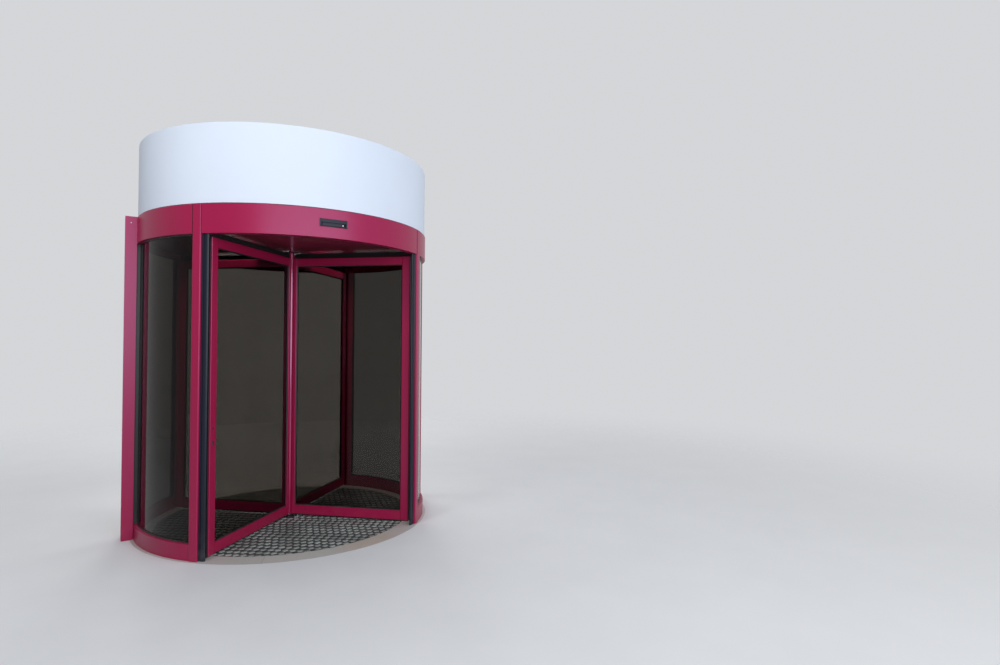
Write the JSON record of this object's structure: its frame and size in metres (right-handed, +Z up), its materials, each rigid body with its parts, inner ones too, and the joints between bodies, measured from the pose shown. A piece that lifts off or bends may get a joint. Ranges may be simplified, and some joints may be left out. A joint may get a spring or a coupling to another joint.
{
  "type": "revolving door",
  "caption": "Round revolving door: curved glass drum walls, glazed wings on a central shaft, curved fascia and a plaster upstand above.",
  "frame": {"origin": "on the rotor axis, at ground level, under the floor ring", "axes": "+Z up along the rotor axis; -Y towards the street; +X to the right as seen from the street, along the facade"},
  "size_m": [2.424, 2.3116, 2.962],
  "materials": {
    "crimson_paint": "semi-gloss stoved paint",
    "drum_glass": "tinted curved glass",
    "wing_glass": "tinted flat glass",
    "black_rubber": "smooth black rubber",
    "brush_seal": "black bristle",
    "ring_stone": "honed cream stone",
    "link_mat": "grey link matting",
    "gloss_ceiling": "high-gloss dark paint",
    "bare_steel": "satin",
    "sensor_case": "smoked plastic",
    "plaster": "white emulsion on plaster"
  },
  "bodies": {
    "drum": {"floor_ring": "ring_stone", "entrance_mat": "link_mat", "floor_pivot": "bare_steel", "post_front_left": "crimson_paint", "post_front_right": "crimson_paint", "post_back_right": "crimson_paint", "post_back_left": "crimson_paint", "mullions": "black_rubber", "safety_strips_front": "black_rubber", "safety_strips_back": "black_rubber", "wall_rail_left": "crimson_paint", "wall_rail_right": "crimson_paint", "wall_glass_front_left": "drum_glass", "wall_glass_front_right": "drum_glass", "wall_glass_back_right": "drum_glass", "wall_glass_back_left": "drum_glass", "jamb_left": "crimson_paint", "jamb_right": "crimson_paint", "fascia_front": "crimson_paint", "fascia_right": "crimson_paint", "fascia_back": "crimson_paint", "fascia_left": "crimson_paint", "ceiling_panel": "gloss_ceiling", "ceiling_bearing": "bare_steel", "canopy_deck": "bare_steel", "sensors": "sensor_case", "upstand_front": "plaster", "upstand_back": "plaster"},
    "rotor": {"central_shaft": "crimson_paint", "wing_1_stiles": "crimson_paint", "wing_1_rails": "crimson_paint", "wing_1_glass": "wing_glass", "wing_1_seals": "brush_seal", "wing_2_stiles": "crimson_paint", "wing_2_rails": "crimson_paint", "wing_2_glass": "wing_glass", "wing_2_seals": "brush_seal", "wing_3_stiles": "crimson_paint", "wing_3_rails": "crimson_paint", "wing_3_glass": "wing_glass", "wing_3_seals": "brush_seal", "wing_4_stiles": "crimson_paint", "wing_4_rails": "crimson_paint", "wing_4_glass": "wing_glass", "wing_4_seals": "brush_seal"}
  },
  "joints": [
    {"name": "rotor_turn", "type": "hinge", "parent": "drum", "child": "rotor", "pos_m": [0, 0, 0], "axis": [0, 0, 1], "continuous": true}
  ]
}
